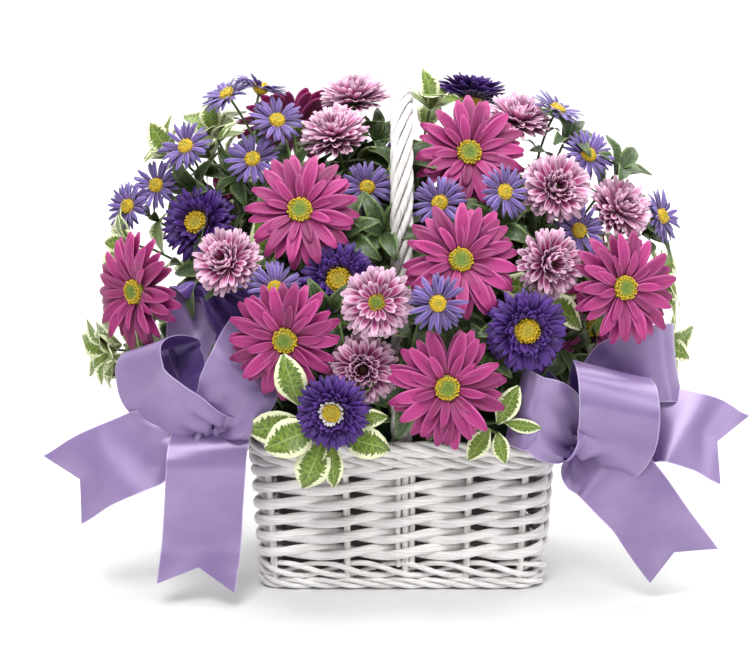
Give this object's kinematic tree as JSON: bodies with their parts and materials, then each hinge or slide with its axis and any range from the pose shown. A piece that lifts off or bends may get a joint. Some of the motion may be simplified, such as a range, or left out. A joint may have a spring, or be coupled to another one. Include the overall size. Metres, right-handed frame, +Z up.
{
  "type": "flower basket arrangement",
  "caption": "Handled rectangular willow basket filled with foam-set magenta daisies, purple asters, pink mums and lavender asters, with variegated leaves and a satin bow at each front corner",
  "frame": {"origin": "the middle of the basket's flat underside, on the surface that it stands on", "axes": "+X along the basket's long side to the right as seen from the front, +Y to the back, +Z up; the front with the bows faces -Y"},
  "size_m": [0.4765, 0.2767, 0.3404],
  "materials": {
    "white_willow": "white-washed peeled willow rods, matte with greyish grain showing through",
    "liner_plastic": "thin dark plastic liner, slightly sheened",
    "wet_foam": "soaked dark green floral foam, matte and fine-grained",
    "bow_binding": "satin binding on a thin wooden pick",
    "lilac_satin": "lilac satin ribbon with a silky sheen",
    "magenta_bloom": "fresh petals, magenta with paler edges, soft sheen",
    "purple_bloom": "fresh petals, deep violet",
    "pink_bloom": "fresh spoon petals, pink with white tips",
    "lavender_bloom": "fresh thin petals, blue lavender",
    "variegated_leaf": "leathery green leaves with cream wavy margins"
  },
  "bodies": {
    "root": {"basket_base": "white_willow", "basket_foot": "white_willow", "basket_wall": "white_willow", "basket_rim": "white_willow", "basket_handle": "white_willow", "plastic_liner": "liner_plastic", "magenta_daisy_upper_left": "magenta_bloom", "magenta_daisy_upper_right": "magenta_bloom", "magenta_daisy_middle_right": "magenta_bloom", "magenta_daisy_low_front": "magenta_bloom", "magenta_daisy_low_left": "magenta_bloom", "magenta_daisy_far_left": "magenta_bloom", "magenta_daisy_far_right": "magenta_bloom", "magenta_daisy_low_right": "magenta_bloom", "magenta_daisy_top_left": "magenta_bloom", "magenta_daisy_back_left": "magenta_bloom", "magenta_daisy_back_right": "magenta_bloom", "purple_aster_left": "purple_bloom", "purple_aster_middle": "purple_bloom", "purple_aster_right": "purple_bloom", "purple_aster_low_left": "purple_bloom", "purple_aster_top": "purple_bloom", "purple_aster_back": "purple_bloom", "pink_mum_left": "pink_bloom", "pink_mum_top_pair": "pink_bloom", "pink_mum_middle": "pink_bloom", "pink_mum_low": "pink_bloom", "pink_mum_right_pair": "pink_bloom", "pink_mum_middle_right": "pink_bloom", "pink_mum_top_right": "pink_bloom", "pink_mum_back": "pink_bloom", "pink_mum_back_right": "pink_bloom", "lavender_aster_upper_left": "lavender_bloom", "lavender_aster_left": "lavender_bloom", "lavender_aster_handle_left": "lavender_bloom", "lavender_aster_handle_right": "lavender_bloom", "lavender_aster_middle": "lavender_bloom", "lavender_aster_middle_left": "lavender_bloom", "lavender_aster_upper_right": "lavender_bloom", "lavender_aster_right": "lavender_bloom", "lavender_aster_back": "lavender_bloom", "leaf_sprig_front_left": "variegated_leaf", "leaf_sprig_front_right": "variegated_leaf", "leaf_sprig_right": "variegated_leaf", "leaf_sprig_left": "variegated_leaf", "leaf_sprig_top": "variegated_leaf", "leaf_sprig_back": "variegated_leaf", "left_bow_pick": "bow_binding", "left_bow_loop_front": "lilac_satin", "left_bow_loop_inner": "lilac_satin", "left_bow_loop_back": "lilac_satin", "left_bow_tail_out": "lilac_satin", "left_bow_tail_down": "lilac_satin", "right_bow_pick": "bow_binding", "right_bow_loop_inner": "lilac_satin", "right_bow_loop_middle": "lilac_satin", "right_bow_loop_outer": "lilac_satin", "right_bow_tail_out": "lilac_satin", "right_bow_tail_down": "lilac_satin", "floral_foam": "wet_foam"}
  },
  "joints": []
}
